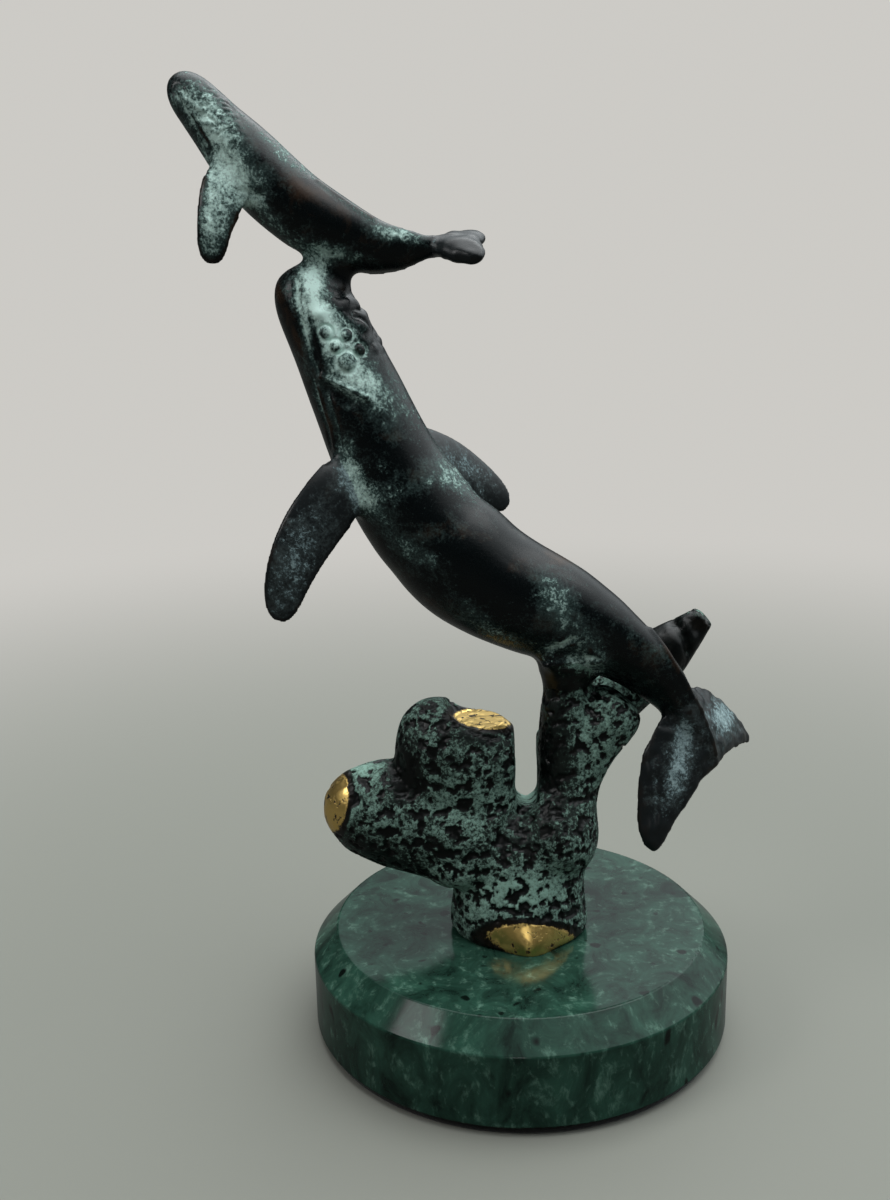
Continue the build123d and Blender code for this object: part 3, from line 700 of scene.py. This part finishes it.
skin_tree = BVHTree.FromBMesh(skin)
points = points_of(skin)
lift = np.zeros(len(points))
knob_paint = np.zeros(len(points))
line_paint = np.zeros(len(points))
for x, y, spread in KNOB_PIXELS:
    near, far = both_sides([(x, y)], "whale")
    radius = spread / FOCAL_PIXELS * (near[0] - EYE).length
    for centre in near + [centre for centre in far if hidden(centre)]:
        raised, paint = punch_knob(centre, radius, KNOB_HEIGHT)
        lift += raised
        knob_paint += paint
for name, lines in HEAD_LINES.items():
    for pixels, width, height in lines:
        for line in both_sides(pixels, name):
            stroke = draw_line(line, width, height)
            lift += stroke
            line_paint += 0.6 * abs(stroke) / MM
for pixels, width, height in SINGLE_LINES:
    stroke = draw_line([on_skin(pixel, skin_tree) for pixel in pixels], width, height)
    lift += stroke
    line_paint += 0.3 * abs(stroke) / MM
for pixel, reach, height in SWELLINGS:
    away = np.linalg.norm(points - np.array(on_skin(pixel, skin_tree)), axis=1) / (reach * MM)
    lift += height * MM * np.exp(-away * away)
print("head work from", round(float(lift.min()) / MM, 2), "to", round(float(lift.max()) / MM, 2), "mm")

# %% [markdown]
# Colour is painted through the photograph's camera, as through a stencil: an oval of pixels
# covers the points that show in it, and the far side of the metal gets half as much. First come
# the rubbed spots, where hands or a wheel polished the metal, because they stay smooth while
# the rest of the coral is roughened.


# %% Stencils
def oval_distance(pixel, reach, tilt):
    """How far each point shows from a pixel, in reaches of a tilted oval."""
    turned = math.radians(tilt)
    away = screen - np.array(pixel)
    along = away[:, 0] * math.cos(turned) + away[:, 1] * math.sin(turned)
    across = away[:, 1] * math.cos(turned) - away[:, 0] * math.sin(turned)
    return np.hypot(along / reach[0], across / reach[1])


def nearness(pixel):
    """1 for points as near to the eye as the skin at a pixel, falling to a half behind it."""
    depth = (on_skin(pixel, skin_tree) - EYE).length
    return 1 - 0.5 * np.clip((eye_distance - depth) / (STENCIL_DEPTH * MM) - 1, 0, 1)


STENCIL_DEPTH = 8.0
from_eye = points - np.array(EYE)
eye_distance = np.linalg.norm(from_eye, axis=1)
local = from_eye @ np.array(turn.to_3x3())
screen = np.stack(
    [
        PHOTO_WIDTH / 2 - FOCAL_PIXELS * local[:, 0] / local[:, 2],
        PHOTO_HEIGHT / 2 + FOCAL_PIXELS * local[:, 1] / local[:, 2],
    ],
    axis=1,
)
print("the skin shows from pixel", screen.min(axis=0).round(), "to", screen.max(axis=0).round())

# %% Rubbed spots
# Each spot is an oval: its pixel, its two reaches in pixels, its tilt in degrees and, if brown, its amount.
BARE_SPOTS = (
    ((483, 719), (24, 8), 8),
    ((336, 803), (10, 25), 8),
    ((531, 938), (36, 12), 3),
)
BROWN_SPOTS = (
    ((697, 622), (14, 6), 20, 0.5),
    ((545, 553), (26, 7), 25, 0.45),
    ((315, 195), (26, 8), 35, 0.5),
    ((291, 325), (40, 5), 70, 0.35),
    ((203, 135), (20, 4), 58, 0.35),
)
rubbed = np.zeros(len(points))
for pixel, reach, tilt in BARE_SPOTS:
    near = nearness(pixel) > 0.95
    rubbed = np.maximum(rubbed, np.clip(1.9 - oval_distance(pixel, reach, tilt), 0, 1) * near * is_coral)
for pixel, reach, tilt, amount in BROWN_SPOTS:
    rubbed += amount * np.exp(-oval_distance(pixel, reach, tilt) ** 2) * nearness(pixel)
print("bare points", int((rubbed > 0.7).sum()))

# %% [markdown]
# The coral was cast rough: ragged pits sink into a green crust. The flukes are a little lumpy, the
# weld and the crowns are wrinkled, and all the skin is very slightly uneven, as wax models are.

# %% Pit the coral
PIT_SIZE = 2.6
PIT_DEPTH = 0.5
PIT_EDGE = (0.14, 0.36)
PIT_FLATNESS = 1.15
SWELL = (7.0, 0.35)
WAX_LUMPS = {"whale_flukes": (2.6, 0.4), "calf_flukes": (3.0, 0.35)}
EVEN_WAX = (7.0, 0.12)
SMOOTH_BRANCH = ((676, 640), (34, 32), 0)
# Each field of wrinkles: an oval as above, the spacing and the height in millimetres.
WRINKLES = (
    ((575, 658), (36, 22), 20, 3.0, 1.4),
    ((362, 322), (36, 14), 52, 3.0, 1.2),
    ((213, 117), (38, 22), 50, 1.6, 0.6),
)
creases = [amount * np.exp(-oval_distance(*oval) ** 4) for *oval, size, amount in WRINKLES]
pitted = np.zeros(len(points))
uneven = np.zeros(len(points))
for i, place in enumerate(points):
    place = Vector(place) / MM
    if is_coral[i]:
        level_place = Vector((place.x, place.y, PIT_FLATNESS * place.z)) / PIT_SIZE
        pitted[i] = (noise.fractal(level_place, 0.7, 2.0, 3) - PIT_EDGE[0]) / (PIT_EDGE[1] - PIT_EDGE[0])
        uneven[i] = SWELL[1] * noise.noise(place / SWELL[0])
    else:
        size, height = WAX_LUMPS.get(CASTINGS[owner[i]], EVEN_WAX)
        uneven[i] = height * noise.noise(place / size)
        for crease, wrinkle in zip(creases, WRINKLES):
            if crease[i] > 0.01:
                uneven[i] += crease[i] * abs(noise.noise(place / wrinkle[3]))
branch = np.exp(-oval_distance(*SMOOTH_BRANCH) ** 4) * is_coral
pitted = np.clip(pitted, 0, 1) * (1 - 0.85 * branch)
rough = (uneven - PIT_DEPTH * pitted) * np.clip(1 - 0.85 * rubbed, 0, 1)
move(normals_of(skin) * (lift + rough * MM)[:, None])
print("pits cover", round(float((pitted > 0.5).sum() / is_coral.sum()), 2), "of the coral")

# %% [markdown]
# Verdigris gathers where hands and cloths don't reach: in hollows, under fins, round the knobs.
# How hollow a place is shows in how far smoothing would lift it. The painted amount is that, plus
# slow drifts, plus ovals placed by the photograph's pixels, and less than nothing keeps it dark.
# Some ovals paint light instead: a paler haze for a painted sheen on the backs and the far flipper
# and a painted reflection along the belly, and dark amounts for painted shade under the brow and
# on the coral.

# %% Paint the verdigris, with painted sheen and shade
# Each oval: its pixel, its two reaches in pixels, its tilt in degrees and the amount that it adds.
# Most ovals are verdigris; the ones marked below paint sheen, reflection or shade.
PATINA_SHEEN_AND_SHADE_OVALS = (
    ((310, 288), (36, 14), 72, 1.3),
    ((338, 342), (36, 20), 52, 1.8),
    ((318, 312), (12, 9), 30, 0.6),
    ((354, 378), (24, 12), 25, 0.9),
    ((382, 402), (38, 24), 45, 0.95),
    ((304, 325), (28, 3), 80, 0.6),
    ((292, 300), (30, 8), 72, 0.5),
    ((323, 410), (26, 4), 70, 0.6),
    ((350, 448), (18, 10), 80, 0.6),
    ((352, 476), (26, 14), 60, 1.2),
    ((364, 503), (18, 11), 50, 1.0),
    ((385, 470), (26, 14), 50, 0.45),
    ((385, 500), (22, 12), 40, 0.5),
    ((447, 476), (26, 16), 45, 0.6),
    ((410, 488), (34, 12), -10, 0.4),
    ((395, 535), (30, 12), 45, 0.45),
    ((424, 556), (22, 10), 35, 0.5),
    # Painted reflection, partly haze: a paler band on the lower flank and along the belly's rim.
    ((466, 606), (36, 11), 42, 0.55),
    ((505, 636), (40, 6), 18, 0.5),
    ((552, 590), (30, 22), 55, 0.85),
    ((560, 614), (20, 14), 60, 0.5),
    ((558, 644), (18, 5), -20, 1.2),
    ((580, 661), (24, 10), 10, 0.8),
    ((592, 642), (26, 14), 30, 0.5),
    ((600, 668), (20, 12), 30, 0.5),
    ((645, 645), (40, 10), 45, 0.3),
    ((203, 108), (34, 20), 50, 1.2),
    ((226, 144), (36, 22), 50, 1.0),
    ((243, 180), (34, 20), 20, 0.9),
    ((250, 203), (14, 6), 0, 0.8),
    ((214, 212), (46, 22), 97, 1.35),
    # Painted sheen, partly haze: the calf's back is made paler where it catches the light.
    ((282, 152), (50, 9), 41, 0.85),
    ((350, 204), (50, 7), 36, 0.45),
    ((300, 556), (62, 26), 115, 0.75),
    ((400, 234), (34, 9), 12, 1.3),
    ((334, 252), (36, 10), 15, 1.1),
    ((272, 222), (32, 9), 45, 0.9),
    ((318, 274), (14, 20), 15, 1.1),
    # Painted light: the far flipper is made paler where light falls on it.
    ((470, 468), (42, 20), 42, 0.4),
    ((684, 742), (38, 14), 100, 0.8),
    ((674, 785), (40, 14), 105, 0.75),
    ((724, 716), (16, 18), 0, 1.0),
    ((528, 798), (14, 8), 0, 0.8),
    ((520, 892), (50, 20), 0, 0.6),
    # Painted shade: the left side of the coral's post, under the whale, is kept dark. The lower trunk is kept
    # darker.
    ((552, 740), (20, 64), 0, -1.0),
    ((530, 835), (36, 30), 0, -0.4),
    ((366, 770), (12, 8), 0, 0.6),
    ((316, 345), (30, 4), 79, -1.1),
    # Painted shade: the hollow under the brow ledge is kept dark.
    ((340, 396), (18, 6), 28, -0.8),
    ((345, 276), (11, 18), 0, -0.7),
    ((490, 560), (50, 24), 40, -0.3),
    # Painted sheen: the whale's upper back is made paler where it would mirror the light.
    ((425, 432), (34, 10), 58, 0.25),
    ((325, 207), (44, 14), 35, -0.7),
    ((460, 247), (22, 14), 0, -0.2),
    # Painted shade, partly dark patina: the fold behind the middle lobe, the band under the lobe's ground top
    # and the underside of the left arm are kept dark.
    ((404, 772), (13, 22), 0, -1.6),
    ((482, 738), (34, 7), 10, -0.6),
    ((375, 852), (60, 10), 25, -0.6),
    ((655, 835), (20, 24), 0, -0.5),
    ((699, 629), (9, 7), 10, -1.5),
)
HOLLOW_ROUNDS = 20
DRIFT_SIZE = 16.0
BASE_GREEN = -0.1
DRIFT_GREEN = 0.35
HOLLOW_GREEN = 0.9
CORAL_GREEN = 1.1
PIT_GREEN = -2.0
WELD_GREEN = 0.5
BRANCH_GREEN = -1.4
skin_tree = BVHTree.FromBMesh(skin)
normals = normals_of(skin)
chased = points_of(skin)
soft_copy = skin.copy()
smooth(soft_copy, soft_copy.verts, HOLLOW_ROUNDS)
hollow = ((points_of(soft_copy) - chased) * normals).sum(axis=1) / MM
soft_copy.free()
drifts = np.array([noise.noise(Vector(place) / (DRIFT_SIZE * MM)) for place in points])
verdigris = BASE_GREEN + DRIFT_GREEN * drifts + np.clip(HOLLOW_GREEN * hollow, -0.3, 0.4) * ~is_coral
for pixel, reach, tilt, amount in PATINA_SHEEN_AND_SHADE_OVALS:
    verdigris += amount * np.exp(-oval_distance(pixel, reach, tilt) ** 2) * nearness(pixel)
verdigris += line_paint + knob_paint
is_weld = owner == CASTINGS.index("belly_weld")
verdigris[is_coral] += CORAL_GREEN + PIT_GREEN * pitted[is_coral]
verdigris += WELD_GREEN * is_weld + BRANCH_GREEN * branch
rubbed += np.clip(-hollow, 0, 0.25) * ~is_coral
print("verdigris from", round(float(verdigris.min()), 2), "to", round(float(verdigris.max()), 2))

# %% [markdown]
# The skin is split again into the castings that a bench would show: each face goes to the
# casting that its corners are nearest to. The open rims are capped, and the rims' edges are kept
# sharp, so that the shading of the skin runs on smoothly from one piece to the next.

# %% Split the skin into castings
SLATE_FINS = ("whale_left_flipper", "whale_right_flipper", "whale_flukes", "calf_flukes")
FINISHES = {"coral": coral_bronze, "belly_weld": coral_bronze, **dict.fromkeys(SLATE_FINS, fin_bronze)}
crust_layer = skin.verts.layers.float.new("verdigris")
rubbed_layer = skin.verts.layers.float.new("rubbed")
for vert, crust_amount, rubbed_amount in zip(skin.verts, verdigris, rubbed):
    vert[crust_layer] = crust_amount
    vert[rubbed_layer] = rubbed_amount
corners = [[vert.index for vert in face.verts] for face in skin.faces]
face_owner = np.array([int(share[corner].sum(axis=0).argmin()) for corner in corners])
for column, node in enumerate(CASTINGS):
    piece = skin.copy()
    piece.faces.ensure_lookup_table()
    others = [piece.faces[i] for i in np.flatnonzero(face_owner != column)]
    bmesh.ops.delete(piece, geom=others, context="FACES")
    rim = [edge for edge in piece.edges if edge.is_boundary]
    for edge in rim:
        edge.smooth = False
    caps = bmesh.ops.holes_fill(piece, edges=rim, sides=0)["faces"]
    bmesh.ops.poke(piece, faces=caps)
    bmesh.ops.recalc_face_normals(piece, faces=piece.faces)
    cast = link_mesh(node + "_cast", piece)
    cast.data.materials.append(FINISHES.get(node, skin_bronze))
    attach(cast, "root")
    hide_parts(node)
    print(cast.name, len(cast.data.polygons), "faces")
skin.free()
